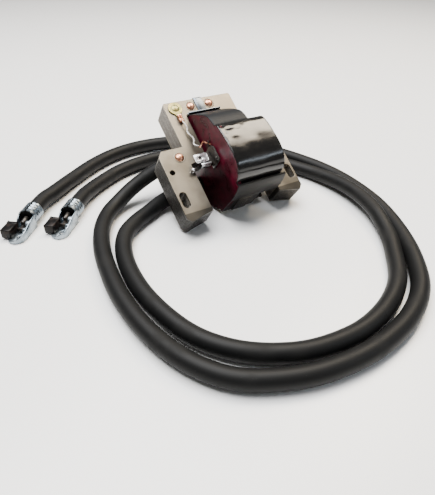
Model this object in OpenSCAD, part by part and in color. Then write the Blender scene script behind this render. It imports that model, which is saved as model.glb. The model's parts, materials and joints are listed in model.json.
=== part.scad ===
// Flywheel-magneto ignition coil for a twin-cylinder small engine:
// a three-leg laminated armature, a potted coil on its centre leg and two
// plug leads, lying on a flat surface the way the loose part comes to rest.
// Armature frame: X across the legs, Y through the stack (front face at 0),
// Z up the legs. stand() leans that frame back onto the floor at Z = 0.

/* [Armature] */
// Distance between the two mounting slots' centres
slot_spacing = 80; // [78:0.5:82]
// End-to-end length of a mounting slot
slot_l = 11; // [8:0.5:12]
// Width of a mounting slot
slot_w = 5; // [4.5:0.1:5.2]
// Width over the two outer legs
leg_span = 88; // [87.6:0.2:92]
// Width over the yoke
yoke_w = 51.6; // [50:0.2:54]
// Height of the yoke's top edge above the slots
yoke_top = 69; // [67:0.5:74]
// Thickness of the whole lamination stack
stack_t = 16; // [15.6:0.1:16.4]
// Radius of the pole arc that faces the flywheel
pole_r = 160; // [140:5:220]
// Width of the centre leg that carries the coil
core_w = 10; // [9:0.5:10]
// Diameter of the small pilot hole in the left leg
pilot_d = 3.6; // [3:0.1:4]
// Lean of the armature from upright as it lies
tilt = 55.7; // [55.4:0.1:56]

/* [Coil] */
// Left end of the case, where the epoxy shows
case_left = -12; // [-12.2:0.1:-11.8]
// Right, closed end of the case
case_right = 23; // [22:0.5:24]
// Wall thickness of the case
case_wall = 1.8; // [1.4:0.1:2]

/* [Plug leads] */
// Outside diameter of a plug lead
lead_d = 10; // [9:0.5:10]
// Number of sides of the lead's plain tube
lead_sides = 10; // [8:1:12]

/* [Hidden] */
$fn = 48;

gap = 0.1;              // assembly clearance between neighbouring pieces
plate_t = 1.6;          // thickness of each end plate of the stack
leg_in = 25.6;          // inner edge of an outer leg, from the middle
win_x = 13;             // half width of the window beside the coil
win_z = 57.3;           // underside of the yoke
step_z = 22;            // where the window widens to the legs
shoulder_z = 35.3;      // top of the outer legs' shoulders
pole_top = -9.4;        // height of the pole arc at the middle
chamfer = 3;            // chamfer on the outer legs' corners
rivet_d = 4.4;          // rivet shank
rivet_head = 6;         // rivet head
yoke_rivet_x = 7;       // yoke rivets, left and right of the middle
yoke_rivet_z = 63.6;
leg_rivet_x = 31;       // leg rivets
leg_rivet_z = 28.5;
pilot_x = -39.8;        // pilot hole in the left leg
pilot_z = 19.5;
strap_t = 0.8;          // sheet of the coil retainer

leg_out = leg_span / 2;
pole_drop = pole_r - sqrt(pole_r * pole_r - pow(leg_out - chamfer, 2));
foot_z = pole_top - pole_drop;
lift = stack_t * sin(tilt) - foot_z * cos(tilt);
y_high = (stack_t + strap_t) * cos(tilt) + (yoke_top + strap_t) * sin(tilt);
y_low = -19 * cos(tilt) - 5.5 * sin(tilt);
y_mid = (y_high + y_low) / 2;

// The case's side outlines, as [depth, height] corners: the round front, the
// shoulder above it, the flange along the bottom and the round back
bulge = [[-0.3, 33], [-21, 33], [-23.6, 32], [-25.2, 29], [-26.4, 23], [-27, 16],
    [-27.2, 9], [-26.4, 3.6], [-24.4, -0.6], [-20.8, -3.6], [-16.4, -5], [-0.3, -5]];
dome = [[-0.3, 56.4], [-3.2, 55.2], [-11.3, 48.9], [-17.6, 43.6], [-20.4, 40],
    [-21.8, 35.8], [-22.4, 31], [-0.3, 31]];
flange = [[-0.3, -4.5], [-13.2, -4.5], [-13.2, -6.2], [-16.2, -6.2], [-16.4, -7.6],
    [-12, -9], [-6, -9.6], [-0.3, -9.6]];
rear = [[16.3, 55], [21, 53], [27, 48.8], [32, 43], [35.6, 36.5], [37.6, 30],
    [38.2, 24], [37.2, 17], [34.8, 12.5], [31, 7], [25.5, 0.8], [20, -4.4], [16.3, -6.8]];

// The hollow inside each of them, one wall smaller
room_front = [[-2.1, 31.2], [-20.2, 31.2], [-22.2, 30.4], [-23.4, 28.2], [-24.6, 22.6],
    [-25.2, 15.8], [-25.4, 9], [-24.7, 4.2], [-23, 0.8], [-20, -1.9], [-15.8, -3.2],
    [-11.6, -3.2], [-11.6, -7.2], [-6, -7.8], [-2.1, -7.8]];
room_dome = [[-2.1, 53.6], [-10.2, 47.3], [-16.2, 42.3], [-18.8, 39.2], [-20, 35.4],
    [-20.6, 31.1], [-2.1, 31.1]];
room_rear = [[18.1, 51.9], [20.2, 50.9], [25.8, 47], [30.4, 41.6], [33.8, 35.6],
    [35.6, 29.6], [36.2, 24], [35.3, 17.6], [33.2, 13.6], [29.4, 8.2], [24, 2.2],
    [19, -2.6], [18.1, -3.3]];

case_top = 56.4;        // top of the case inside the window
case_low = -8.6;        // its bottom inside the window
dome_right = 13.4;      // right end of the shoulder under the yoke
flange_right = 24;      // right end of the lower flange

// Rounded tubes of the winding, as growth outside the centre leg
bore_grow = 0.2;
bobbin_grow = 1.2;
primary_grow = 3.4;
paper_grow = 3.8;
former_grow = 4.6;
secondary_grow = 6.2;
wind_low = -5;          // bottom of the windings
wind_high = 52;         // top of the windings

// Where the two leads leave the coil, on the floor's frame
outer_exit = [-20, 22, 22];
inner_exit = [-20, 5, 9];
grommet_l = 8;

outer_route = [outer_exit, [-32, 22, 20.6], [-44, 22, 16.4], [-56, 21, 11],
    [-68, 16, 6.6], [-78, 8, 5], [-87, -6, 5], [-94, -25, 5], [-98, -46, 5],
    [-100, -70, 5], [-98, -96, 5], [-91, -120, 5], [-79, -138, 5], [-62, -149, 5],
    [-41, -156, 5], [-14, -158, 5], [14, -153, 5], [38, -141, 5], [57, -121, 5],
    [72, -97, 5], [83, -71, 5], [88, -44, 5], [88, -18, 5], [82, 8, 5],
    [71, 34, 5], [54, 58, 5], [34, 76, 5], [10, 89, 5], [-16, 94, 5],
    [-40, 91, 5], [-62, 81, 5], [-83, 66, 5], [-101, 51, 5.6], [-110, 43.5, 6],
    [-123.3, 27.3, 6]];
inner_route = [inner_exit, [-31, 5, 8], [-43, 3, 6], [-55, -3, 5], [-67, -10, 5],
    [-77, -19, 5], [-84, -33, 5], [-88, -51, 5], [-89, -72, 5], [-86, -94, 5],
    [-80, -112, 5], [-69, -127, 5], [-54, -138, 5], [-36, -145, 5],
    [-12, -147, 5], [11, -142, 5], [32, -131, 5], [49, -114, 5], [62, -97, 6],
    [73, -74, 8], [78.5, -48, 8], [77.5, -22, 6], [70, 2, 5], [58, 24, 5],
    [40, 44, 5], [18, 58, 5], [-6, 66, 5], [-28, 66.5, 5], [-49, 61, 5],
    [-67, 51, 5], [-80, 41, 5.6], [-87, 34, 6], [-99.5, 19.4, 6]];

ring_x = -18.6;         // ring terminal on the yoke
ring_z = 63.6;
ring_d = 9.6;
wire_r = 0.7;           // ground wire and copper tail
ground_route = [[-18.6, -1.8, 52.2], [-19, -2, 48.5], [-19, -2.1, 44.5],
    [-19.2, -2, 40.5], [-19.4, -2, 36.5], [-19.2, -2.4, 33.6], [-17.6, -3, 31.8]];
tail_route = [[-17.5, -3.04, 31.72], [-15.8, -3.6, 31.6], [-14.2, -4.6, 33],
    [-13, -6.6, 32.6], [-12.75, -9.2, 29.6], [-12.75, -11, 25.4]];
spade_z = 21.6;         // middle of the spade blade
spade_w = 6.35;         // quarter-inch blade
spade_y = -6.4;         // its front face
face_x = case_left - 0.8;   // outer side of the plate on the epoxy

clip_h = 6;             // height of a clip's barrel above the floor
clip_t = 0.7;           // sheet of a plug clip
barrel_r = lead_d / 2 + gap;
barrel_l = 9;
clip_l = 21;
clip_z = 0.2;           // underside of a clip's floor
stud_d = 4.4;           // hole for the plug's stud
stud_x = 14.5;
stud_y = -1.9;
clip_w = 11;

// ---------- shared shapes ----------

module stand() {
    translate([0, -y_mid, lift]) rotate([-tilt, 0, 0]) children();
}

// Extrudes an [x, z] outline from depth y0 to depth y1
module through_y(y0, y1) {
    translate([0, y1, 0]) rotate([90, 0, 0]) linear_extrude(y1 - y0) children();
}

// Extrudes a [y, z] outline from x0 to x1
module along_x(x0, x1) {
    translate([x0, 0, 0]) rotate([90, 0, 90]) linear_extrude(x1 - x0) children();
}

module round_rect(w, d, r) {
    square([w - 2 * r, d], center = true);
    square([w, d - 2 * r], center = true);
    for (sx = [-1, 1], sy = [-1, 1])
        translate([sx * (w / 2 - r), sy * (d / 2 - r)]) circle(r);
}

// Solid of rounded section that wraps the centre leg at a given growth
module core_block(grow, z0, z1) {
    translate([0, stack_t / 2, z0]) linear_extrude(z1 - z0)
        round_rect(core_w + 2 * grow, stack_t + 2 * grow, max(0.2, grow * 0.6));
}

module core_tube(grow_in, grow_out, z0, z1) {
    difference() {
        core_block(grow_out, z0, z1);
        core_block(grow_in, z0 - 1, z1 + 1);
    }
}

// ---------- armature ----------

module slot_outline() {
    square([slot_w, slot_l - slot_w], center = true);
    for (s = [-1, 1]) translate([0, s * (slot_l - slot_w) / 2]) circle(slot_w / 2);
}

module armature_outline() {
    half = [[yoke_w / 2 - 1, yoke_top], [yoke_w / 2, yoke_top - 1],
        [yoke_w / 2, shoulder_z], [leg_out - chamfer, shoulder_z],
        [leg_out, shoulder_z - chamfer - 1], [leg_out, foot_z + chamfer],
        [leg_out - chamfer, foot_z - 0.4], [leg_out - chamfer, foot_z - 6],
        [leg_in, foot_z - 6], [leg_in, step_z], [win_x, step_z + 3], [win_x, win_z],
        [core_w / 2, win_z], [core_w / 2, foot_z - 6]];
    mirrored = [for (i = [len(half) - 1:-1:0]) [-half[i][0], half[i][1]]];
    difference() {
        polygon(concat(half, mirrored));
        translate([0, pole_top - pole_r]) circle(pole_r, $fn = 360);
        for (s = [-1, 1]) {
            translate([s * slot_spacing / 2, 0]) slot_outline();
            translate([s * yoke_rivet_x, yoke_rivet_z]) circle(rivet_d / 2 + 0.02);
            translate([s * leg_rivet_x, leg_rivet_z]) circle(rivet_d / 2 + 0.02);
        }
        translate([pilot_x, pilot_z]) circle(pilot_d / 2);
    }
}

module lamination_front_plate() {
    color("#c9c0b2") stand() through_y(0, plate_t) armature_outline();
}

module lamination_pack_front() {
    color("#8f8c88") stand() through_y(plate_t, stack_t / 2) armature_outline();
}

module lamination_pack_rear() {
    color("#8f8c88") stand() through_y(stack_t / 2, stack_t - plate_t) armature_outline();
}

module lamination_rear_plate() {
    color("#c9c0b2") stand() through_y(stack_t - plate_t, stack_t) armature_outline();
}

// Rivet through the stack with a domed front head and a flat rear head
module stack_rivet(x, z) {
    head_h = 1.5;
    translate([x, 0, z]) rotate([-90, 0, 0]) {
        cylinder(d = rivet_d, h = stack_t);
        rotate_extrude() intersection() {
            translate([0, rivet_head * 0.55]) circle(rivet_head * 0.55 + head_h);
            translate([0, -head_h]) square([rivet_head / 2, head_h]);
        }
        translate([0, 0, stack_t]) cylinder(d1 = rivet_head, d2 = rivet_head - 1.4, h = 1);
    }
}

module yoke_rivets() {
    color("#b87958") stand()
        for (s = [-1, 1]) stack_rivet(s * yoke_rivet_x, yoke_rivet_z);
}

module leg_rivets() {
    color("#b87958") stand()
        for (s = [-1, 1]) stack_rivet(s * leg_rivet_x, leg_rivet_z);
}

// Sheet-steel strap bent over the yoke between its rivets; its foot keeps the coil up
module coil_retainer() {
    w = 6;
    low = win_z - 0.7;
    side = [[-strap_t, low], [0, low], [0, yoke_top], [stack_t, yoke_top],
        [stack_t, low + 2], [stack_t + strap_t, low + 2],
        [stack_t + strap_t, yoke_top + strap_t], [-strap_t, yoke_top + strap_t]];
    color("#a9adb0") stand() {
        along_x(-w / 2, w / 2) polygon(side);
        along_x(-win_x + 1, win_x - 1)
            polygon([[-strap_t, low + 1.4], [0, low + 1.4], [0, low], [-3.4, low],
                [-3.4, low + strap_t], [-strap_t, low + strap_t]]);
    }
}

// ---------- coil ----------

module case_outer() {
    along_x(case_left, case_right) polygon(bulge);
    along_x(case_left, dome_right) polygon(dome);
    along_x(case_left, flange_right) polygon(flange);
    along_x(case_left, case_right) polygon(rear);
    translate([case_left, -0.4, case_low])
        cube([win_x - 0.6 - case_left, stack_t + 0.8, case_top - case_low]);
}

module case_room() {
    open = case_left - 1;
    end = case_right - case_wall;
    along_x(open, end) polygon(room_front);
    along_x(open, dome_right - case_wall) polygon(room_dome);
    along_x(open, end) polygon(room_rear);
    translate([open, -2.2, case_low + 2])
        cube([win_x - 0.6 - case_wall - open, stack_t + 4.4, case_top - case_low - 3.8]);
}

module coil_case() {
    color("#17171a") stand() difference() {
        case_outer();
        case_room();
        core_block(bore_grow, -20, 60);
    }
}

module potting_epoxy() {
    color("#5c1f2b") stand() difference() {
        intersection() {
            case_room();
            case_outer();
        }
        core_block(secondary_grow, wind_low, wind_high);
        core_block(bobbin_grow, -20, 60);
        for (p = [outer_exit, inner_exit]) unstand() contact_pin(p, 0);
    }
}

// Takes a shape that is placed on the floor's frame back into the armature's
module unstand() {
    rotate([tilt, 0, 0]) translate([0, y_mid, -lift]) children();
}

module primary_bobbin() {
    color("#d8d2c0") stand() {
        core_tube(bore_grow, bobbin_grow, wind_low - 1.6, wind_high + 1.6);
        core_tube(bobbin_grow, primary_grow, wind_low, wind_low + 1);
        core_tube(bobbin_grow, primary_grow, wind_high - 1, wind_high);
    }
}

module primary_winding() {
    color("#b5602c") stand()
        core_tube(bobbin_grow, primary_grow, wind_low + 1, wind_high - 1);
}

module layer_insulation() {
    color("#d9c48a") stand() core_tube(primary_grow, paper_grow, wind_low, wind_high);
}

module secondary_bobbin() {
    color("#cfcabb") stand() {
        core_tube(paper_grow, former_grow, wind_low, wind_high);
        for (z = [wind_low, 9, 23, 37, wind_high - 1])
            core_tube(former_grow, secondary_grow, z, z + 1);
    }
}

module secondary_winding() {
    color("#a4501f") stand()
        for (z = [[wind_low + 1, 9], [10, 23], [24, 37], [38, wind_high - 1]])
            core_tube(former_grow, secondary_grow, z[0], z[1]);
}

// Brass pin that joins the winding to a lead's core, with its axis along X
module contact_pin(p, grow) {
    translate([p[0] + grommet_l, p[1], p[2]]) rotate([0, 90, 0]) {
        cylinder(d = 2.4 + grow, h = 9);
        translate([0, 0, 3]) cylinder(d = 5 + grow, h = 1.2);
    }
}

module ht_contacts() {
    color("#c9a24b") for (p = [outer_exit, inner_exit]) contact_pin(p, 0);
}

// Rubber collar round a lead where it leaves the epoxy
module lead_grommet(p) {
    color("#1b1b1c") translate(p) rotate([0, 90, 0]) {
        cylinder(d1 = lead_d + 1, d2 = lead_d + 3, h = grommet_l - 2);
        translate([0, 0, grommet_l - 2]) cylinder(d = lead_d + 3, h = 2);
    }
}

module lead_grommet_outer() { lead_grommet(outer_exit); }

module lead_grommet_inner() { lead_grommet(inner_exit); }

// ---------- primary circuit on the front face ----------

module ground_ring() {
    color("#a8a060") stand() difference() {
        union() {
            through_y(-0.8, 0) {
                translate([ring_x, ring_z]) circle(ring_d / 2);
                translate([ring_x - 1.7, ring_z - 7]) square([3.4, 5]);
            }
            translate([ring_x, -1.8, 52.3]) cylinder(d = 3.6, h = 5.4);
        }
        translate([ring_x, 1, ring_z]) rotate([90, 0, 0]) cylinder(d = 3.4, h = 4);
        translate([ring_x, -1.8, 52]) cylinder(r = wire_r, h = 1.2);
        translate([ring_x - 5, 0, 50]) cube([10, 5, 12]);
    }
}

module ground_rivet() {
    color("#a8a060") stand() translate([ring_x, -0.8, ring_z]) rotate([90, 0, 0]) {
        translate([0, 0, -0.8]) cylinder(d = 3.4, h = 0.8);
        cylinder(d1 = 5.6, d2 = 4.4, h = 0.7);
    }
}

module ground_wire() {
    color("#c9c6bd") stand() swept_tube(ground_route, wire_r, 8);
}

module primary_tail() {
    color("#b26b42") stand() swept_tube(tail_route, wire_r, 8);
}

// Quick-connect blade with a locking dimple, folded back to a foot on the leg
module spade_terminal() {
    low = spade_z - spade_w / 2;
    color("#d6d8d8") stand() difference() {
        union() {
            through_y(spade_y, spade_y + 0.8) translate([-25.2, low])
                square([25.2 + face_x, spade_w]);
            through_y(-2.8, -2) translate([-29, low - 3.2]) square([29 + face_x, 3]);
            translate([face_x - 0.8, spade_y, low - 3.2]) cube([0.8, 4.4, spade_w + 3.2]);
        }
        translate([-21.4, spade_y + 0.35, spade_z]) rotate([90, 0, 0]) cylinder(d = 1.8, h = 2);
    }
}

// Dark steel plate on the epoxy face that carries the blade
module terminal_bracket() {
    color("#4c4a49") stand() translate([face_x, -12, 14.5]) cube([0.8, 11.5, 13]);
}

module terminal_rivet() {
    color("#cfd0cf") stand() translate([-27.2, 0, spade_z - 4.8]) rotate([90, 0, 0])
        cylinder(d = 2.6, h = 2);
}

// ---------- plug leads ----------

function unit(v) = v / norm(v);
function along(p, i) = unit(p[min(i + 1, len(p) - 1)] - p[max(i - 1, 0)]);
function across(t) = abs(t[2]) > 0.9 ? unit(cross(t, [1, 0, 0])) : unit(cross(t, [0, 0, 1]));
function ring_at(p, i, r, n) =
    let (t = along(p, i), a = across(t), b = cross(a, t))
    [for (k = [0:n - 1]) p[i] + r * (cos(360 * (k + 0.5) / n) * a + sin(360 * (k + 0.5) / n) * b)];

// Tube of n sides swept along the points of a route
module swept_tube(route, r, n) {
    m = len(route);
    points = [for (i = [0:m - 1]) each ring_at(route, i, r, n)];
    sides = [for (i = [0:m - 2], k = [0:n - 1])
        let (a = i * n + k, b = i * n + (k + 1) % n)
        each [[a, b, b + n], [a, b + n, a + n]]];
    first = [for (k = [n - 1:-1:0]) k];
    last = [for (k = [0:n - 1]) (m - 1) * n + k];
    polyhedron(points, concat(sides, [first, last]));
}

module ht_lead_outer() {
    color("#232323") swept_tube(outer_route, lead_d / 2, lead_sides);
}

module ht_lead_inner() {
    color("#232323") swept_tube(inner_route, lead_d / 2, lead_sides);
}

// ---------- plug terminals ----------

// Puts a piece at the end of a lead: X along the lead, Y to its right, Z up
module at_end(route) {
    e = route[len(route) - 1];
    t = along(route, len(route) - 1);
    translate([e[0], e[1], 0]) rotate([0, 0, atan2(t[1], t[0])]) mirror([0, 1, 0]) children();
}

// Folded clip: a barrel crimped round the lead and a channel with one long wall
module plug_clip() {
    difference() {
        translate([-barrel_l, 0, clip_h]) rotate([0, 90, 0])
            cylinder(r = barrel_r + clip_t, h = barrel_l + 1);
        translate([-barrel_l - 1, 0, clip_h]) rotate([0, 90, 0])
            cylinder(r = barrel_r, h = barrel_l + 3);
        translate([-barrel_l - 1, -0.6, clip_h]) cube([barrel_l + 3, 1.2, 10]);
    }
    difference() {
        union() {
            translate([1, -clip_w / 2, clip_z]) cube([clip_l - clip_w / 2 - 1, clip_w, clip_t]);
            translate([clip_l - clip_w / 2, 0, clip_z]) cylinder(d = clip_w, h = clip_t);
        }
        translate([stud_x, stud_y, 0]) cylinder(d = stud_d, h = 3);
    }
    translate([1, -clip_w / 2, clip_z + clip_t]) cube([clip_l - 7, clip_t, 8]);
    translate([1, clip_w / 2 - clip_t, clip_z + clip_t]) cube([5, clip_t, 7]);
    translate([6, -clip_w / 2 + clip_t, 5]) cube([3.4, 2.6, clip_t]);
}

module plug_block() {
    translate([7, 2.8, clip_z + clip_t]) cube([10.5, 6.5, 6]);
}

module plug_spring() {
    translate([2, -2, clip_z + clip_t]) cube([8, 4, 0.8]);
    translate([9.2, -2, clip_z + clip_t + 0.8]) cube([0.8, 4, 3.4]);
}

module plug_clip_outer() { color("#c3c8c9") at_end(outer_route) plug_clip(); }

module plug_clip_inner() { color("#c3c8c9") at_end(inner_route) plug_clip(); }

module plug_block_outer() { color("#262322") at_end(outer_route) plug_block(); }

module plug_block_inner() { color("#262322") at_end(inner_route) plug_block(); }

module plug_spring_outer() { color("#3a3836") at_end(outer_route) plug_spring(); }

module plug_spring_inner() { color("#3a3836") at_end(inner_route) plug_spring(); }

lamination_front_plate();
lamination_pack_front();
lamination_pack_rear();
lamination_rear_plate();
yoke_rivets();
leg_rivets();
coil_retainer();
ground_ring();
ground_rivet();
ground_wire();
primary_tail();
spade_terminal();
terminal_bracket();
terminal_rivet();
coil_case();
potting_epoxy();
primary_bobbin();
primary_winding();
layer_insulation();
secondary_bobbin();
secondary_winding();
ht_contacts();
lead_grommet_outer();
lead_grommet_inner();
ht_lead_outer();
ht_lead_inner();
plug_clip_outer();
plug_clip_inner();
plug_block_outer();
plug_block_inner();
plug_spring_outer();
plug_spring_inner();
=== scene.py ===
"""Looks of the ignition coil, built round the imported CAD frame.

Lengths are in metres in the row frame. Pieces of the armature and the coil are drawn in
millimetres in the armature's own frame (X across the legs, Y through the stack from its
front face, Z up the legs) and are then laid down by ARM. Pieces of a plug clip are drawn in
millimetres in the clip's frame (X along the lead, Y to its left, Z up from the floor).
"""
import json
import math
import random

import bmesh
import bpy
from mathutils import Matrix, Vector, noise


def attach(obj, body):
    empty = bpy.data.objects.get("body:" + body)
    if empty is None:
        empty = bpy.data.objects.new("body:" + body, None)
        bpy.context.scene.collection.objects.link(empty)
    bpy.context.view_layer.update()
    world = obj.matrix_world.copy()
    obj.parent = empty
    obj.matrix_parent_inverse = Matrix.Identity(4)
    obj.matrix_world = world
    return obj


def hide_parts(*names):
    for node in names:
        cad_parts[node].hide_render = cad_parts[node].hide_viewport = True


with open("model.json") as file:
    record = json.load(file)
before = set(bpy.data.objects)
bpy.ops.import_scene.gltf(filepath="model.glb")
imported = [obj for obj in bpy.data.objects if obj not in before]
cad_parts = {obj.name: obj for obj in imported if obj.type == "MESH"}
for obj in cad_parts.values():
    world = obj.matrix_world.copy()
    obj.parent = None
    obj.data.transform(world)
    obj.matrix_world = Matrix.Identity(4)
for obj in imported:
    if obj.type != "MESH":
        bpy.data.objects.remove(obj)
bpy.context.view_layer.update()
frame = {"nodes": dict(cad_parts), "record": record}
scene = bpy.context.scene
mounts = {m["name"]: m for m in frame["record"]["mounts"]}
MM = 0.001

# The slot's axis is the front face's outward normal. Its place, at X = 0, is the armature
# frame's own origin.
NORMAL = Vector(mounts["slot_left"]["axis"]).normalized()
ARM_AT = Vector((0, *mounts["slot_left"]["pos_m"][1:]))
TILT = math.atan2(NORMAL.z, -NORMAL.y)
ARM = Matrix.Translation(ARM_AT) @ Matrix.Rotation(-TILT, 4, "X") @ Matrix.Scale(MM, 4)
ROW = Matrix.Scale(MM, 4)


def linked(name, data):
    """A new object in the scene that holds data."""
    item = bpy.data.objects.new(name, data)
    scene.collection.objects.link(item)
    return item


# ---- camera

CAMERA_AT = (-0.146, -0.2319, 0.1582)
CAMERA_RIGHT = (0.8535, -0.5208, 0.0202)
CAMERA_UP = (0.2972, 0.5183, 0.8019)
LENS = 32.1
SENSOR = 36
NEAR_CLIP = 0.01


def make_camera():
    data = bpy.data.cameras.new("studio_camera")
    data.lens = LENS
    data.sensor_width = SENSOR
    data.clip_start = NEAR_CLIP
    camera = linked("studio_camera", data)
    right = Vector(CAMERA_RIGHT).normalized()
    back = right.cross(Vector(CAMERA_UP)).normalized()
    up = back.cross(right)
    turn = Matrix((right, up, back)).transposed().to_4x4()
    camera.matrix_world = Matrix.Translation(CAMERA_AT) @ turn
    scene.camera = camera


make_camera()

# ---- cords

LEAD_D = 0.010
ON_FLOOR = 5    # height in millimetres of a lead's middle where it lies on the floor
# part.scad's own routes in millimetres; a point without a height is on the floor
OUTER_ROUTE = [
    (-20, 22, 22), (-32, 22, 20.6), (-44, 22, 16.4), (-56, 21, 11), (-68, 16, 6.6), (-78, 8),
    (-87, -6), (-94, -25), (-98, -46), (-100, -70), (-98, -96), (-91, -120), (-79, -138),
    (-62, -149), (-41, -156), (-14, -158), (14, -153), (38, -141), (57, -121), (72, -97),
    (83, -71), (88, -44), (88, -18), (82, 8), (71, 34), (54, 58), (34, 76), (10, 89), (-16, 94),
    (-40, 91), (-62, 81), (-83, 66), (-101, 51, 5.6), (-110, 43.5, 6), (-123.3, 27.3, 6)]
INNER_ROUTE = [
    (-20, 5, 9), (-31, 5, 8), (-43, 3, 6), (-55, -3), (-67, -10), (-77, -19), (-84, -33),
    (-88, -51), (-89, -72), (-86, -94), (-80, -112), (-69, -127), (-54, -138), (-36, -145),
    (-12, -147), (11, -142), (32, -131), (49, -114), (62, -97, 6), (73, -74, 8), (78.5, -48, 8),
    (77.5, -22, 6), (70, 2), (58, 24), (40, 44), (18, 58), (-6, 66), (-28, 66.5), (-49, 61),
    (-67, 51), (-80, 41, 5.6), (-87, 34, 6), (-99.5, 19.4, 6)]


def in_metres(route):
    return [tuple(v / 1000 for v in (*point, ON_FLOOR)[:3]) for point in route]


ROUTES = {"outer": in_metres(OUTER_ROUTE), "inner": in_metres(INNER_ROUTE)}


def smooth_path(points, steps=10):
    """Points of a Catmull-Rom curve through the given ones."""
    p = [Vector(q) for q in points]
    p = [2 * p[0] - p[1]] + p + [2 * p[-1] - p[-2]]
    out = []
    for i in range(1, len(p) - 2):
        a, b, c, d = p[i - 1:i + 3]
        for k in range(steps):
            t = k / steps
            out.append(0.5 * (2 * b + (c - a) * t + (2 * a - 5 * b + 4 * c - d) * t * t
                              + (3 * b - a - 3 * c + d) * t ** 3))
    return out + [p[-2]]


def add_line(data, points, cyclic):
    """Adds a line through points to a curve."""
    line = data.splines.new("POLY")
    line.points.add(len(points) - 1)
    for point, q in zip(line.points, points):
        point.co = (*q, 1)
    line.use_cyclic_u = cyclic
    return line


def curve_piece(name, paths, radius, resolution, cyclic=False):
    """A curve object with one line per path, thickened to a round rod."""
    data = bpy.data.curves.new(name, "CURVE")
    data.dimensions = "3D"
    data.bevel_depth = radius
    data.bevel_resolution = resolution
    data.use_fill_caps = True
    for path in paths:
        add_line(data, path, cyclic).use_smooth = True
    return linked(name, data)


# ---- materials

class Look:
    """A procedural material whose textures are measured in millimetres.

    local=True measures them in the armature's own frame, so that grain and sheets line up
    with the leaning armature.
    """

    def __init__(self, name, roughness, metallic=0.0, local=False, **sockets):
        self.material = bpy.data.materials.new(name)
        self.material.use_nodes = True
        self.tree = self.material.node_tree
        self.shader = self.tree.nodes["Principled BSDF"]
        self.shader.inputs["Roughness"].default_value = roughness
        self.shader.inputs["Metallic"].default_value = metallic
        for socket, value in sockets.items():
            self.shader.inputs[socket.replace("_", " ")].default_value = value
        place = self.add("ShaderNodeTexCoord")
        self.mapping = self.add("ShaderNodeMapping")
        self.mapping.inputs["Scale"].default_value = (1 / MM,) * 3
        if local:
            shift = Matrix.Rotation(TILT, 3, "X") @ (ARM_AT / -MM)
            self.mapping.inputs["Rotation"].default_value = (TILT, 0, 0)
            self.mapping.inputs["Location"].default_value = shift
        self.tree.links.new(place.outputs["Object"], self.mapping.inputs["Vector"])
        self.point = self.mapping.outputs["Vector"]

    def add(self, kind, **values):
        node = self.tree.nodes.new(kind)
        for key, value in values.items():
            setattr(node, key, value)
        return node

    def feed(self, node, **links):
        """Sets or links a node's inputs by name and returns the node's first output."""
        for key, value in links.items():
            socket = node.inputs[int(key[1:])] if key[0] == "i" and key[1:].isdigit() \
                else node.inputs[key.replace("_", " ")]
            if isinstance(value, bpy.types.NodeSocket):
                self.tree.links.new(value, socket)
            else:
                socket.default_value = value
        return node.outputs[0]

    def stretched(self, stretch):
        return self.feed(self.add("ShaderNodeVectorMath", operation="MULTIPLY"),
                         i0=self.point, i1=stretch)

    def noise(self, size, detail=4.0, stretch=None, distortion=0.0):
        """Cloudy noise from 0 to 1 whose blotches are about size mm across."""
        vector = self.stretched(stretch) if stretch else self.point
        return self.feed(self.add("ShaderNodeTexNoise"), Vector=vector, Scale=1 / size,
                         Detail=detail, Distortion=distortion)

    def cells(self, size):
        return self.feed(self.add("ShaderNodeTexVoronoi"), Vector=self.point, Scale=1 / size)

    def axis(self, name):
        split = self.add("ShaderNodeSeparateXYZ")
        self.tree.links.new(self.point, split.inputs[0])
        return split.outputs[name]

    def math(self, operation, a, b=0.0):
        return self.feed(self.add("ShaderNodeMath", operation=operation), i0=a, i1=b)

    def span(self, value, low, high, out_low=0.0, out_high=1.0):
        """Maps low..high to out_low..out_high, clamped."""
        node = self.add("ShaderNodeMapRange", interpolation_type="SMOOTHSTEP")
        return self.feed(node, Value=value, From_Min=low, From_Max=high,
                         To_Min=out_low, To_Max=out_high)

    def blend(self, factor, a, b):
        """Mixes two colours, given as sockets or as (r, g, b)."""
        node = self.add("ShaderNodeMixRGB")
        a, b = [(*c, 1) if isinstance(c, tuple) else c for c in (a, b)]
        return self.feed(node, Fac=factor, Color1=a, Color2=b)

    def bump(self, height, depth, strength=1.0):
        """Raises the surface by depth mm where height is 1, on top of earlier bumps."""
        node = self.add("ShaderNodeBump")
        earlier = self.shader.inputs["Normal"].links
        if earlier:
            self.tree.links.new(earlier[0].from_socket, node.inputs["Normal"])
        normal = self.feed(node, Height=height, Distance=depth * MM, Strength=strength)
        self.tree.links.new(normal, self.shader.inputs["Normal"])

    def set(self, **sockets):
        self.feed(self.shader, **sockets)
        return self.material


def sheet_metal(name, light, dark, roughness, local=True, metallic=0.9, blotch=9.0,
                scratch=(0.05, 1, 1), relief=1.0):
    """Bare or plated sheet: slow blotches, fine scratches along one way and small specks."""
    look = Look(name, roughness, metallic, local)
    clouds = look.noise(blotch, detail=6)
    lines = look.noise(0.5, detail=3, stretch=scratch)
    specks = look.span(look.noise(0.9, detail=2), 0.66, 0.74)
    colour = look.blend(look.span(clouds, 0.35, 0.68), dark, light)
    colour = look.blend(look.math("MULTIPLY", lines, 0.25), colour, dark)
    colour = look.blend(look.math("MULTIPLY", specks, 0.35), colour,
                        tuple(0.45 * c for c in dark))
    rough = look.math("ADD", look.span(clouds, 0.3, 0.7, roughness * 0.8, roughness * 1.25),
                      look.math("MULTIPLY", lines, 0.08))
    look.bump(lines, 0.012 * relief, 0.5)
    look.bump(look.noise(2.6, detail=2), 0.02 * relief, 0.4)
    look.colour = colour
    look.set(Base_Color=colour, Roughness=rough)
    return look


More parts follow.
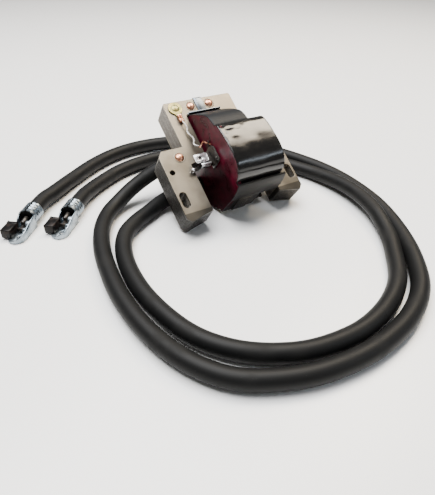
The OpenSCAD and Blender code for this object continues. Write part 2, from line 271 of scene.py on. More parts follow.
def painted_side_and_pole_shade(look):
    """Painted shade: darkens the outer side of the left leg and the three pole faces."""
    side = look.span(look.axis("X"), -43.2, -43.9)
    depth = look.span(look.axis("Y"), 0.1, 0.5)
    poles = look.span(look.math("ADD", look.axis("Z"), look.math("MULTIPLY", depth, -0.4)),
                      -8.6, -9.3)
    return look.math("MAXIMUM", look.math("MULTIPLY", side, depth), poles)


def plate_steel():
    """End plates: painted shade on their outer edges, and a painted dark reflection of the coil
    beside it.
    """
    look = sheet_metal("plate_steel", (0.200, 0.176, 0.138), (0.140, 0.123, 0.097), 0.34,
                       metallic=0.85, blotch=14)
    # painted shade on the outer side of the left leg and on the pole faces
    shade = look.blend(look.math("MULTIPLY", painted_side_and_pole_shade(look), 0.75), look.colour,
                       (0.02, 0.019, 0.017))
    # painted dark reflection of the coil on the column beside it
    painted_coil_reflection = look.math("MULTIPLY", look.span(look.axis("X"), -23.5, -16.5),
                       look.span(look.axis("Z"), 55, 44))
    painted_coil_reflection = look.math("MULTIPLY", painted_coil_reflection, look.span(look.axis("X"), 12, 0))
    shade = look.blend(look.math("MULTIPLY", painted_coil_reflection, 0.55), shade, (0.07, 0.06, 0.045))
    return look.set(Base_Color=shade)


def stack_steel():
    """Sheet edges: each sheet has its own grey tone, with a little rust, and painted shade on the
    left leg's outer side and the pole faces.
    """
    look = Look("stack_steel", 0.42, 0.85, local=True)
    sheet = look.math("FLOOR", look.math("DIVIDE", look.axis("Y"), SHEET_PITCH))
    own = look.feed(look.add("ShaderNodeTexWhiteNoise", noise_dimensions="1D"), W=sheet)
    colour = look.blend(own, (0.11, 0.10, 0.088), (0.20, 0.183, 0.16))
    rust = look.span(look.noise(3.5, detail=6), 0.58, 0.75, 0.0, 0.55)
    colour = look.blend(rust, colour, (0.09, 0.045, 0.025))
    # painted shade on the outer side of the left leg and on the pole faces
    colour = look.blend(look.math("MULTIPLY", painted_side_and_pole_shade(look), 0.85), colour,
                        (0.014, 0.013, 0.012))
    rough = look.span(look.noise(1.6, detail=4), 0.3, 0.7, 0.34, 0.56)
    look.bump(look.noise(0.6, detail=4, stretch=(1, 0.3, 1)), 0.03, 0.6)
    return look.set(Base_Color=colour, Roughness=rough)


def copper():
    look = Look("copper", 0.3, 1.0)
    clouds = look.noise(1.8, detail=5)
    colour = look.blend(look.span(clouds, 0.35, 0.7), (0.40, 0.17, 0.10), (0.80, 0.43, 0.28))
    look.bump(look.noise(0.5, detail=3), 0.02, 0.5)
    return look.set(Base_Color=colour, Roughness=look.span(clouds, 0.3, 0.7, 0.42, 0.24))


def spring_steel():
    return sheet_metal("spring_steel", (0.17, 0.19, 0.215), (0.10, 0.118, 0.14), 0.26,
                       blotch=6, scratch=(1, 1, 0.05), relief=0.5).material


def yellow_zinc():
    """Yellow-passivated zinc: olive and straw patches, a few of them greener."""
    look = Look("yellow_zinc", 0.36, 0.8, local=True)
    clouds = look.noise(3.2, detail=5, distortion=0.6)
    colour = look.blend(look.span(clouds, 0.35, 0.65), (0.15, 0.15, 0.055), (0.31, 0.26, 0.10))
    colour = look.blend(look.span(look.noise(2.1, detail=3), 0.55, 0.75, 0, 0.5), colour,
                        (0.20, 0.24, 0.14))
    look.bump(look.noise(0.4, detail=3), 0.01, 0.5)
    return look.set(Base_Color=colour)


def tinned_wire():
    look = Look("tinned_wire", 0.32, 0.95)
    colour = look.blend(look.noise(0.9, detail=4), (0.42, 0.40, 0.37), (0.86, 0.84, 0.80))
    look.bump(look.noise(0.3, detail=2), 0.02, 0.6)
    return look.set(Base_Color=colour)


def tin_plate():
    return sheet_metal("tin_plate", (0.78, 0.79, 0.80), (0.58, 0.58, 0.59), 0.24, blotch=8,
                       metallic=0.95, relief=0.3).material


def dark_steel():
    return sheet_metal("dark_steel", (0.085, 0.075, 0.065), (0.035, 0.031, 0.029), 0.34,
                       metallic=0.7, blotch=4).material


def zinc_plate():
    return sheet_metal("zinc_plate", (0.38, 0.43, 0.47), (0.17, 0.205, 0.235), 0.25,
                       local=False, metallic=0.92, blotch=4).material


def brass():
    return sheet_metal("brass", (0.72, 0.53, 0.22), (0.50, 0.35, 0.13), 0.3, local=False,
                       metallic=1.0, blotch=2).material


def case_black():
    """Moulded case: a glossy, slightly rippled round front and a matte upper shoulder."""
    look = Look("case_black", 0.2, local=True)
    shoulder = look.math("MULTIPLY", look.span(look.axis("Z"), 32.2, 33.4),
                         look.span(look.axis("Y"), 0.0, -2.0))
    grain = look.noise(0.35, detail=3)
    smear = look.noise(7.0, detail=5, stretch=(0.5, 1, 1.6))
    flange = look.span(look.axis("Z"), -4.3, -4.9)
    matte = look.math("MAXIMUM", shoulder, look.math("MULTIPLY", flange, 0.85))
    colour = look.blend(shoulder, (0.0045, 0.0042, 0.004), (0.008, 0.009, 0.0105))
    colour = look.blend(look.span(smear, 0.5, 0.75, 0, 0.5), colour, (0.012, 0.010, 0.008))
    gloss = look.span(smear, 0.35, 0.7, 0.12, 0.24)
    rough = look.feed(look.add("ShaderNodeMix"), i0=matte, i2=gloss, i3=0.52)
    level = look.span(matte, 0, 1, 0.5, 0.15)
    look.bump(grain, 0.006, 0.35)
    look.bump(look.noise(3.0, detail=2), 0.03, 0.35)
    return look.set(Base_Color=colour, Roughness=rough, Specular_IOR_Level=level)


def epoxy():
    """Dark red potting resin: cloudy swirls, dull low down at the back, where a painted dark
    reflection makes it nearly black.
    """
    look = Look("epoxy", 0.3, local=True, Specular_IOR_Level=0.16)
    swirl = look.noise(9.0, detail=7, distortion=1.4)
    colour = look.blend(look.span(swirl, 0.32, 0.66), (0.034, 0.0024, 0.0070),
                        (0.085, 0.0048, 0.0165))
    # mask of the painted dark reflection, low down at the back
    low = look.math("MULTIPLY", look.span(look.axis("Z"), 22.0, 6.0),
                    look.span(look.axis("Y"), -16.0, -6.0))
    dull = look.math("MULTIPLY", look.span(look.axis("Z"), 26.0, 20.0),
                     look.span(look.axis("Y"), -18.0, -13.0))
    # painted dark reflection: the resin goes nearly black low down at the back
    colour = look.blend(look.math("MULTIPLY", low, 0.75), colour, (0.006, 0.004, 0.004))
    look.bump(look.noise(4.0, detail=2), 0.03, 0.5)
    look.bump(look.noise(0.8, detail=3), 0.004, 0.4)
    return look.set(Base_Color=colour, Roughness=look.span(swirl, 0.3, 0.7, 0.26, 0.42),
                    Specular_IOR_Level=look.span(dull, 0, 1, 0.16, 0.015))


def lead_rubber():
    """Extruded rubber sleeve: matte black, fine grain, pale dust and faint rub marks."""
    look = Look("lead_rubber", 0.6, Specular_IOR_Level=0.17)
    grain = look.noise(0.3, detail=4)
    wear = look.span(look.noise(16.0, detail=6), 0.45, 0.72)
    dust = look.span(look.cells(2.4), 0.12, 0.03, 0.0, 0.35)
    colour = look.blend(wear, (0.0040, 0.0041, 0.0042), (0.0066, 0.0065, 0.0063))
    colour = look.blend(dust, colour, (0.035, 0.033, 0.030))
    look.bump(grain, 0.02, 0.45)
    look.bump(look.noise(2.2, detail=3), 0.05, 0.3)
    return look.set(Base_Color=colour, Roughness=look.span(wear, 0, 1, 0.52, 0.66))


def block_black():
    """Moulded phenolic with brown wear on its faces."""
    look = Look("block_black", 0.4, Specular_IOR_Level=0.15)
    worn = look.span(look.noise(3.0, detail=6), 0.45, 0.72)
    colour = look.blend(worn, (0.0045, 0.0040, 0.0042), (0.020, 0.013, 0.011))
    look.bump(look.noise(0.45, detail=4), 0.04, 0.5)
    return look.set(Base_Color=colour, Roughness=look.span(worn, 0, 1, 0.30, 0.5))


def bobbin():
    look = Look("bobbin", 0.45, local=True, Subsurface_Weight=0.1, Subsurface_Scale=0.002)
    colour = look.blend(look.noise(5.0, detail=5), (0.55, 0.50, 0.40), (0.68, 0.64, 0.54))
    look.bump(look.noise(0.5, detail=3), 0.02, 0.4)
    return look.set(Base_Color=colour)


def winding():
    """Turns of enamelled wire, seen as fine copper ridges round the core."""
    look = Look("winding", 0.3, 0.8, local=True)
    turns = look.feed(look.add("ShaderNodeTexWave", bands_direction="Z"),
                      Vector=look.point, Scale=0.9, Distortion=0.6, Detail=1.0)
    colour = look.blend(turns, (0.22, 0.06, 0.02), (0.62, 0.26, 0.09))
    look.bump(turns, 0.10, 0.9)
    return look.set(Base_Color=colour)


def paper():
    look = Look("paper", 0.7, local=True)
    fibres = look.noise(1.2, detail=6, stretch=(1, 1, 0.2))
    colour = look.blend(fibres, (0.50, 0.38, 0.18), (0.68, 0.56, 0.32))
    look.bump(fibres, 0.04, 0.5)
    return look.set(Base_Color=colour)


PACKS_T = 12.8                  # thickness of the front and rear packs together
SHEET_COUNT = 26
SHEET_PITCH = PACKS_T / SHEET_COUNT
LOOKS = {make.__name__: make() for make in (
    plate_steel, stack_steel, copper, spring_steel, yellow_zinc, tinned_wire, tin_plate,
    dark_steel, zinc_plate, brass, case_black, epoxy, lead_rubber, block_black, bobbin,
    winding, paper)}

# ---- mesh tools


def claim(piece, slot, *nodes):
    """Gives a finished piece its material, slot and body, and hides the CAD nodes it stands for.
    """
    piece.data.materials.clear()
    piece.data.materials.append(LOOKS[slot])
    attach(piece, "root")
    if nodes:
        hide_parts(*nodes)


def mesh_object(name, source, place, smooth=35):
    """An object from a bmesh or mesh drawn in millimetres, laid down by the matrix place."""
    if isinstance(source, bmesh.types.BMesh):
        mesh = bpy.data.meshes.new(name)
        bmesh.ops.remove_doubles(source, verts=source.verts, dist=1e-4)
        bmesh.ops.recalc_face_normals(source, faces=source.faces)
        source.to_mesh(mesh)
        source.free()
    else:
        mesh = source
    mesh.transform(place)
    mesh.shade_smooth()
    mesh.set_sharp_from_angle(angle=math.radians(smooth))
    return linked(name, mesh)


def lay(name, source, slot, *nodes, smooth=35):
    """Makes and claims a piece that is drawn in the armature's frame."""
    claim(mesh_object(name, source, ARM, smooth), slot, *nodes)


def evaluated(data, **modifiers):
    """The mesh of data, with modifiers applied that are given as KIND={setting: value}."""
    carrier = linked("carrier", data)
    for kind, settings in modifiers.items():
        modifier = carrier.modifiers.new(kind, kind)
        for key, value in settings.items():
            setattr(modifier, key, value)
    graph = bpy.context.evaluated_depsgraph_get()
    result = bpy.data.meshes.new_from_object(carrier.evaluated_get(graph))
    bpy.data.objects.remove(carrier)
    return result


def to_mesh(bm):
    mesh = bpy.data.meshes.new("drawn")
    bmesh.ops.recalc_face_normals(bm, faces=bm.faces)
    bm.to_mesh(mesh)
    bm.free()
    return mesh


def softened(bm, width, segments=2):
    """The bmesh with its sharp edges bevelled."""
    return evaluated(to_mesh(bm), BEVEL={"width": width, "segments": segments,
                                         "limit_method": "ANGLE", "angle_limit": 0.5})


def joined(meshes):
    """One bmesh of several meshes."""
    bm = bmesh.new()
    for mesh in meshes:
        bm.from_mesh(mesh)
    return bm


def prism(bm, outline, low, high, place):
    """Adds an outline extruded between two depths; place(a, b, depth) gives each point."""
    rings = [[bm.verts.new(place(a, b, depth)) for a, b in outline] for depth in (low, high)]
    for ring in rings:
        bm.faces.new(ring)
    n = len(outline)
    for i in range(n):
        j = (i + 1) % n
        bm.faces.new((rings[0][i], rings[0][j], rings[1][j], rings[1][i]))
    return bm


def slab(outline, low, high, place, bevel, segments=2):
    """A prism with its sharp edges bevelled."""
    return softened(prism(bmesh.new(), outline, low, high, place), bevel, segments)


def along_x(a, b, depth):
    return depth, a, b


def along_y(a, b, depth):
    return a, depth, b


def round_corner(before, corner, after, radius, steps, even):
    """Points that round one corner. even=True cuts both of its sides back by the same."""
    c = Vector(corner)
    sides = [Vector(before) - c, Vector(after) - c]
    cuts = [min(radius, side.length * 0.49) for side in sides]
    if even:
        cuts = [min(cuts)] * 2
    p, q = [c + side.normalized() * cut for side, cut in zip(sides, cuts)]
    return [tuple((1 - t) ** 2 * p + 2 * t * (1 - t) * c + t * t * q)
            for t in (k / steps for k in range(steps + 1))]


def filleted(outline, radius):
    """The closed outline with each corner rounded by up to radius."""
    n = len(outline)
    return [point for i in range(n) for point in round_corner(
        outline[i - 1], outline[i], outline[(i + 1) % n], radius, 4, even=True)]


def open_fillet(path, radius):
    """The open path with its inner corners rounded."""
    inner = [point for corner in zip(path, path[1:], path[2:])
             for point in round_corner(*corner, radius, 5, even=False)]
    return [path[0]] + inner + [path[-1]]


def rectangle(x0, z0, x1, z1):
    return [(x0, z0), (x1, z0), (x1, z1), (x0, z1)]


def circle(x, z, radius, sides=24, start=0.0, turn=2 * math.pi):
    """Points of a circle, or of the part of it that turn covers."""
    return [(x + radius * math.cos(start + turn * k / sides),
             z + radius * math.sin(start + turn * k / sides)) for k in range(sides)]


def flat_sheet(outlines, thickness, bevel):
    """Mesh of a flat sheet in X and Y with holes, its edges softened, centred on Z = 0."""
    data = bpy.data.curves.new("sheet", "CURVE")
    data.dimensions = "2D"
    data.fill_mode = "BOTH"
    data.extrude = thickness / 2 - bevel
    data.bevel_depth = bevel
    data.bevel_resolution = 1
    data.offset = -bevel
    for outline in outlines:
        add_line(data, [(x, y, 0) for x, y in outline], True)
    return evaluated(data)


# Turns a flat sheet's X, Y, Z into the armature's X, Z, -Y
UPRIGHT = Matrix.Rotation(math.pi / 2, 4, "X")
# Turns a lathe's axis to run back through the stack
THROUGH = Matrix.Rotation(-math.pi / 2, 4, "X")


def lathe(profile, sides):
    """Mesh of a profile of (radius, height) points turned about Z, closed at both ends."""
    bm = bmesh.new()
    rings = []
    for radius, height in profile:
        if radius < 1e-6:
            rings.append([bm.verts.new((0, 0, height))])
            continue
        rings.append([bm.verts.new((x, y, height)) for x, y in circle(0, 0, radius, sides)])
    for low, high in zip(rings, rings[1:]):
        for i in range(sides):
            j = (i + 1) % sides
            face = [low[i % len(low)], low[j % len(low)], high[j % len(high)],
                    high[i % len(high)]]
            face = list(dict.fromkeys(face))
            if len(face) > 2:
                bm.faces.new(face)
    return to_mesh(bm)


def moved(mesh, matrix):
    copy = mesh.copy()
    copy.transform(matrix)
    return copy


def bent_strip(path, thickness, low, high, radius, place, bevel=0.12):
    """A sheet strip of even thickness that follows a bent path, between two depths."""
    line = [Vector(p) for p in open_fillet(path, radius)]
    sides = []
    for i, p in enumerate(line):
        t = (line[min(i + 1, len(line) - 1)] - line[max(i - 1, 0)]).normalized()
        sides.append((p, Vector((-t.y, t.x)) * thickness / 2))
    outline = [tuple(p + n) for p, n in sides] + [tuple(p - n) for p, n in reversed(sides)]
    return slab(outline, low, high, place, bevel)


# ---- leads

lead_paths = {side: smooth_path(route) for side, route in ROUTES.items()}
leads = {}
for side, path in lead_paths.items():
    leads[side] = curve_piece(f"plug_lead_{side}", [path], LEAD_D / 2, resolution=9)
    claim(leads[side], "lead_rubber", f"ht_lead_{side}")

# ---- armature

STACK_T = 16.0
PLATE_T = 1.6
SLOT_SPACING, SLOT_L, SLOT_W = 80.0, 11.0, 5.0
LEG_OUT, LEG_IN = 44.0, 25.6
YOKE_HALF, YOKE_TOP = 25.8, 69.0
SHOULDER_Z, STEP_Z = 35.3, 22.0
WIN_X, WIN_Z = 13.0, 57.3
CORE_HALF = 5.0
POLE_R, POLE_TOP = 160.0, -9.4
CHAMFER = 3.0
PILOT = (-39.8, 19.5)
PILOT_R = 1.8
YOKE_RIVETS = [(-7.0, 63.6), (7.0, 63.6)]
LEG_RIVETS = [(-31.0, 28.5), (31.0, 28.5)]
STRAP_T, STRAP_HALF = 0.8, 3
LIP_REACH, LIP_HALF = 3.3, 12


def pole_z(x):
    """Height of the pole arc, which faces the flywheel, at x across the legs."""
    return POLE_TOP - POLE_R + math.sqrt(POLE_R ** 2 - x ** 2)


def armature_outline():
    foot = pole_z(LEG_OUT - CHAMFER)
    half = [(YOKE_HALF - 1, YOKE_TOP), (YOKE_HALF, YOKE_TOP - 1), (YOKE_HALF, SHOULDER_Z),
            (LEG_OUT - CHAMFER, SHOULDER_Z), (LEG_OUT, SHOULDER_Z - CHAMFER - 1),
            (LEG_OUT, foot + CHAMFER), (LEG_OUT - CHAMFER, foot)]
    half += [(x, pole_z(x)) for x in (37, 33, 29, LEG_IN)]
    half += [(LEG_IN, STEP_Z), (WIN_X, STEP_Z + 3), (WIN_X, WIN_Z), (CORE_HALF, WIN_Z),
             (CORE_HALF, pole_z(CORE_HALF))]
    return half + [(-x, z) for x, z in reversed(half)]


def slot_outline(x):
    reach = (SLOT_L - SLOT_W) / 2
    return (circle(x, reach, SLOT_W / 2, 12, 0, math.pi) + [(x - SLOT_W / 2, reach)]
            + circle(x, -reach, SLOT_W / 2, 12, math.pi, math.pi)
            + [(x + SLOT_W / 2, -reach)])


def armature_sheet(thickness, bevel):
    outlines = [armature_outline(), slot_outline(-SLOT_SPACING / 2),
                slot_outline(SLOT_SPACING / 2), circle(*PILOT, PILOT_R, 20)]
    return flat_sheet(outlines, thickness, bevel)


def at_depth(depth, shift=(0, 0)):
    return Matrix.Translation((shift[0], depth, shift[1])) @ UPRIGHT


def make_end_plates():
    plate = armature_sheet(PLATE_T, 0.16)
    for name, depth in (("front", PLATE_T / 2), ("rear", STACK_T - PLATE_T / 2)):
        lay(f"end_plate_{name}", moved(plate, at_depth(depth)), "plate_steel",
            f"lamination_{name}_plate")


def make_sheets():
    """Thin sheets, each a little out of line with the next, in a front and a rear pack."""
    rng = random.Random(7)
    sheet = armature_sheet(SHEET_PITCH - 0.05, 0.06)
    for name, first in (("front", 0), ("rear", SHEET_COUNT // 2)):
        layers = []
        for k in range(first, first + SHEET_COUNT // 2):
            shift = (rng.uniform(-0.06, 0.06), rng.uniform(-0.07, 0.03))
            layers.append(moved(sheet, at_depth(PLATE_T + (k + 0.5) * SHEET_PITCH, shift)))
        lay(f"sheets_{name}", joined(layers), "stack_steel", f"lamination_pack_{name}")


# Radius and depth along a stack rivet, from its front head to its rear one
RIVET = [(0, -1.5), (0.9, -1.46), (1.7, -1.28), (2.35, -0.95), (2.75, -0.5), (2.9, 0),
         (2.2, 0.02), (2.15, 15.98), (2.9, 16.0), (2.85, 16.35), (2.4, 16.85),
         (1.7, 16.98), (0.9, 16.9), (0, 16.75)]


def make_rivets(name, places, node):
    rivet = lathe(RIVET, 36)
    rivets = [moved(rivet, Matrix.Translation((x, 0, z)) @ THROUGH) for x, z in places]
    lay(name, joined(rivets), "copper", node)


def make_punch_rings():
    """The raised rings of plate that the riveting tool leaves round each head."""
    sides = 36
    ring = [(2.95, 0.05), (3.05, -0.10), (3.35, -0.17), (3.7, -0.14), (3.95, 0.05)]
    rings = []
    for x, z in YOKE_RIVETS + LEG_RIVETS:
        bm = bmesh.new()
        loops = [[bm.verts.new((px, py, h)) for px, py in circle(0, 0, r, sides)]
                 for r, h in ring]
        for low, high in zip(loops, loops[1:] + loops[:1]):
            for i in range(sides):
                j = (i + 1) % sides
                bm.faces.new((low[i], low[j], high[j], high[i]))
        rings.append(moved(to_mesh(bm), Matrix.Translation((x, 0, z)) @ THROUGH))
    lay("punch_rings", joined(rings), "plate_steel")


def make_retainer():
    """Strap bent over the yoke, and a lip along the lower edge of the yoke's front."""
    half = STRAP_T / 2
    low = WIN_Z - 0.3
    strap = bent_strip([(STACK_T + half, low + 2), (STACK_T + half, YOKE_TOP + half),
                        (-half, YOKE_TOP + half), (-half, low)],
                       STRAP_T, -STRAP_HALF, STRAP_HALF, 1.2, along_x)
    lip = bent_strip([(-half, low + 1.4), (-half, low), (-LIP_REACH, low)],
                     STRAP_T, -LIP_HALF, LIP_HALF, 0.9, along_x)
    lay("coil_strap", joined([strap, lip]), "spring_steel", "coil_retainer")


make_end_plates()
make_sheets()
make_rivets("yoke_rivet_heads", YOKE_RIVETS, "yoke_rivets")
make_rivets("leg_rivet_heads", LEG_RIVETS, "leg_rivets")
make_punch_rings()
make_retainer()

# ---- coil

CASE_LEFT, CASE_RIGHT = -12.0, 23.0
SHOULDER_RIGHT, FLANGE_RIGHT = 13.4, 24.0
CASE_TOP, CASE_LOW = 56.4, -8.6
CASE_VOXEL = 0.55
FRONT = [(-0.3, 33), (-21, 33), (-23.6, 32), (-25.2, 29), (-26.4, 23), (-27, 16),
         (-27.2, 9), (-26.4, 3.6), (-24.4, -0.6), (-20.8, -3.6), (-16.4, -5), (-0.3, -5)]
SHOULDER = [(-0.3, 56.4), (-3.2, 55.2), (-11.3, 48.9), (-17.6, 43.6), (-20.4, 40),
            (-21.8, 35.8), (-22.4, 31), (-0.3, 31)]
BACK = [(16.3, 55), (21, 53), (27, 48.8), (32, 43), (35.6, 36.5), (37.6, 30), (38.2, 24),
        (37.2, 17), (34.8, 12.5), (31, 7), (25.5, 0.8), (20, -4.4), (16.3, -6.8)]
FLANGE = [(-0.3, -4.5), (-13.2, -4.5), (-13.2, -6.2), (-16.2, -6.2), (-16.4, -7.6),
          (-12, -9), (-6, -9.6), (-0.3, -9.6)]
RIM_INSET = 0.35
# The resin's grid: its spacing and the range of Y and Z that covers the rim
POOL_STEP = 0.75
POOL_Y, POOL_Z = (-28, 39), (-11, 57)
# Once round the left end: shoulder, round front, flange, bottom, back and top
RIM = (SHOULDER[:7] + FRONT[2:11] + [(-15.8, -5.8)] + FLANGE[3:]
       + [(16.3, CASE_LOW)] + BACK[::-1] + [(16.3, CASE_TOP)])


def case_body():
    """The case's outer form, its parts blended into each other as in one moulding."""
    bm = bmesh.new()
    left = CASE_LEFT + 0.35
    prism(bm, filleted(FRONT, 3.0), left, CASE_RIGHT, along_x)
    prism(bm, filleted(SHOULDER, 3.0), left, SHOULDER_RIGHT, along_x)
    prism(bm, filleted(BACK, 3.0), left, CASE_RIGHT, along_x)
    prism(bm, rectangle(-0.6, CASE_LOW, STACK_T + 0.6, CASE_TOP), left, WIN_X - 0.6, along_x)
    return evaluated(to_mesh(bm), REMESH={"mode": "VOXEL", "voxel_size": CASE_VOXEL},
                     SMOOTH={"factor": 0.5, "iterations": 7})


# Soft dents in the round front: where along X and Z, how long and high, and how deep.
# A negative depth is a bump.
DENTS = [(-8.6, 29.4, 2.2, 1.5, 0.42), (-5.8, 26.8, 3.0, 1.4, 0.40), (-9.4, 24.2, 1.6, 2.0, 0.25),
         (-2.4, 29.8, 2.6, 1.3, 0.22), (0.4, 25.8, 2.2, 1.8, 0.16), (4.5, 28.2, 3.2, 1.6, 0.14),
         (-5.0, 21.0, 3.2, 2.2, -0.16), (9.5, 24.0, 4.0, 2.6, 0.12), (15.0, 20.0, 5.0, 3.0, -0.10),
         (4.0, 14.0, 6.0, 2.5, -0.12)]


def dent(point):
    """How far in the case's skin lies at a point: moulding ripple and the soft dents."""
    ripple = 0.12 * noise.noise(point * 0.11)
    if point.y > -14:
        return 0.3 * ripple
    return ripple + sum(d * math.exp(-((point.x - x) / w) ** 2 - ((point.z - z) / h) ** 2)
                        for x, z, w, h, d in DENTS)


def make_case():
    mesh = case_body()
    mesh.update()
    offsets = [v.normal * -dent(v.co) for v in mesh.vertices]
    for v, offset in zip(mesh.vertices, offsets):
        v.co += offset
    bm = joined([mesh])
    flange = slab(FLANGE, CASE_LEFT + 0.3, FLANGE_RIGHT, along_x, 0.35)
    bm.from_mesh(flange)
    lay("case_shell", bm, "case_black", "coil_case", smooth=50)


def make_rim():
    """The moulding's raised lip round its open end."""
    lip = [Vector((CASE_LEFT + 0.3, y, z)) for y, z in inset(RIM, RIM_INSET)]
    bead = curve_piece("case_rim", [[ARM @ p for p in lip]], 0.36 * MM, 3, cyclic=True)
    claim(bead, "case_black")


def inset(outline, amount):
    """The outline moved inwards by amount, corner by corner."""
    out = []
    n = len(outline)
    area = sum(outline[i - 1][0] * outline[i][1] - outline[i][0] * outline[i - 1][1]
               for i in range(n))
    sign = 1 if area > 0 else -1
    for i in range(n):
        p = Vector(outline[i])
        a = (p - Vector(outline[i - 1])).normalized()
        b = (Vector(outline[(i + 1) % n]) - p).normalized()
        normal = Vector((-(a + b).y, (a + b).x)).normalized() * sign
        out.append(tuple(p + normal * amount / max(0.5, normal.dot(Vector((-a.y, a.x)) * sign))))
    return out


def nearest_edge(point, outline):
    """The outline's nearest point, and whether the given point is inside the outline."""
    best = None
    inside = False
    for i, q in enumerate(outline):
        p = outline[i - 1]
        d = Vector(q) - Vector(p)
        t = max(0, min(1, (point - Vector(p)).dot(d) / d.length_squared))
        foot = Vector(p) + t * d
        if best is None or (point - foot).length < (point - best).length:
            best = foot
        if (p[1] > point.y) != (q[1] > point.y):
            if point.x < (q[0] - p[0]) * (point.y - p[1]) / (q[1] - p[1]) + p[0]:
                inside = not inside
    return best, inside


def make_epoxy():
    """The resin's face: a pool that climbs its rim, with slow waves."""
    edge = inset(RIM, RIM_INSET)
    step = POOL_STEP
    ys, zs = [[k * step for k in range(int(low / step), int(high / step) + 1)]
              for low, high in (POOL_Y, POOL_Z)]
    bm = bmesh.new()
    grid = {}
    for y in ys:
        for z in zs:
            at = Vector((y, z))
            foot, inside = nearest_edge(at, edge)
            gap = (at - foot).length
            if not inside and gap > 0.9 * step:
                continue
            if not inside:
                at, gap = foot, 0
            climb = 0.25 * math.exp(-gap / 1.4)
            wave = 0.07 * noise.noise(Vector((y, z, 3)) * 0.13)
            grid[y, z] = bm.verts.new((CASE_LEFT + 0.13 - climb + wave, *at))
    for y in ys:
        for z in zs:
            corners = [(y, z), (y + step, z), (y + step, z + step), (y, z + step)]
            if all(c in grid for c in corners):
                bm.faces.new([grid[c] for c in corners])
    for v in [v for v in bm.verts if not v.link_faces]:
        bm.verts.remove(v)
    skin = bm.faces[:]
    grown = bmesh.ops.extrude_face_region(bm, geom=skin)
    for v in grown["geom"]:
        if isinstance(v, bmesh.types.BMVert):
            v.co.x = CASE_LEFT + 3
    lay("epoxy_fill", bm, "epoxy", "potting_epoxy", smooth=60)


make_case()
make_rim()
make_epoxy()

GROMMET = [(0, -0.05), (5.15, 0), (5.5, 0.3), (5.6, 1.2), (5.35, 1.6), (5.45, 2.2), (5.85, 2.6),
           (5.75, 3.4), (5.6, 3.8), (5.8, 4.4), (6.2, 4.8), (6.1, 5.5), (6.45, 6.0),
           (6.5, 7.7), (0, 7.9)]
for side, route in ROUTES.items():
    place = Matrix.Translation(route[0]) @ Matrix.Rotation(math.pi / 2, 4, "Y") @ ROW
    claim(mesh_object(f"lead_collar_{side}", lathe(GROMMET, 40), place, smooth=45),
          "lead_rubber", f"lead_grommet_{side}")

# ---- primary terminals

RING_AT = (-18.6, 63.6)
RING_R = 4.8
BLADE_Z = 21.6
BLADE_Y = -6.4
BLADE_W = 6.35
BLADE_TIP = -25.2
DIMPLE_X = -21.2
FOOT_RIVET = (-27.2, 0, BLADE_Z - 4.8)
FACE_X = CASE_LEFT - 0.8


def make_ring_terminal():
    """Ring tongue and neck, with a rolled copper crimp below it."""
    x, z = RING_AT
    neck = math.radians(22)
    outline = circle(x, z, RING_R, 40, -math.pi / 2 + neck, 2 * (math.pi - neck))
    outline += [(x - 1.7, z - 5.2), (x - 1.7, z - 7.2), (x + 1.7, z - 7.2), (x + 1.7, z - 5.2)]
    tongue = moved(flat_sheet([outline, circle(x, z, 1.7, 24)], 0.8, 0.15), at_depth(-0.4))
    lay("ring_tongue", tongue, "yellow_zinc", "ground_ring")
    rolls = []
    for s in (-1, 1):
        roll = [Vector((x + s * 0.75, -1.35 - 0.12 * math.sin(k), z - 11.0 + k * 0.46))
                for k in range(12)]
        rolls.append([ARM @ p for p in roll])
    back = [[ARM @ Vector((x, -0.75, z - 11.2 + k * 0.5)) for k in range(12)]]
    claim(curve_piece("crimp_rolls", rolls + back, 0.95 * MM, 4), "copper")
    bands = []
    for height in (53.6, 55.1, 56.6):
        bands.append([ARM @ Vector((x + px, -1.15 + py, height))
                      for px, py in circle(0, 0, 1.62, 24)])
    claim(curve_piece("crimp_bands", bands, 0.22 * MM, 2, cyclic=True), "copper")
    head = [(0, -1.5), (1.1, -1.42), (2.0, -1.22), (2.6, -0.95), (2.75, -0.8), (1.7, -0.78),
            (1.7, 0), (0, 0.0)]
    turn = Matrix.Translation((x, 0, z)) @ THROUGH
    lay("ring_rivet", moved(lathe(head, 28), turn), "yellow_zinc", "ground_rivet")


def strands(route, count, radius, pitch, stray):
    """Paths of twisted strands round a route given in the armature's frame."""
    line = smooth_path(route, 8)
    rng = random.Random(len(route) + count)
    paths = []
    for k in range(count):
        wander = rng.uniform(-stray, stray)
        path = []
        for i, p in enumerate(line):
            t = (line[min(i + 1, len(line) - 1)] - line[max(i - 1, 0)]).normalized()
            side = t.cross(Vector((0, 1, 0))).normalized()
            up = side.cross(t)
            angle = 2 * math.pi * (k / count + i / pitch)
            bulge = radius * (1 + wander * math.sin(math.pi * i / (len(line) - 1)))
            path.append(ARM @ (p + bulge * (math.cos(angle) * side + math.sin(angle) * up)))
        paths.append(path)
    return paths


GROUND_ROUTE = [(-18.6, -1.5, 53.5), (-18.5, -1.9, 51.2), (-17.9, -2.3, 49.2),
                (-17.6, -2.1, 47), (-18.6, -1.7, 44.8), (-18.4, -1.8, 42.2),
                (-17.4, -2.2, 39.6), (-17.6, -2.6, 36.8), (-18.8, -2.4, 34.4),
                (-18.0, -2.9, 32.4), (-16.8, -3.2, 31.6)]
TAIL_ROUTE = [(-17.2, -3.1, 31.9), (-16.2, -3.3, 30.7), (-15.2, -3.7, 31.2),
              (-14.5, -4.6, 32.4), (-13.6, -5.8, 31.9), (-12.9, -6.9, 30.6),
              (-12.75, -8.2, 29.6), (-12.75, -10.0, 27.0)]


def make_wires():
    wire = curve_piece("ground_strands", strands(GROUND_ROUTE, 7, 0.36, 20, 1.6), 0.15 * MM, 2)
    claim(wire, "tinned_wire", "ground_wire")
    tail = curve_piece("copper_tail", strands(TAIL_ROUTE, 3, 0.22, 26, 2.2), 0.13 * MM, 2)
    claim(tail, "copper", "primary_tail")


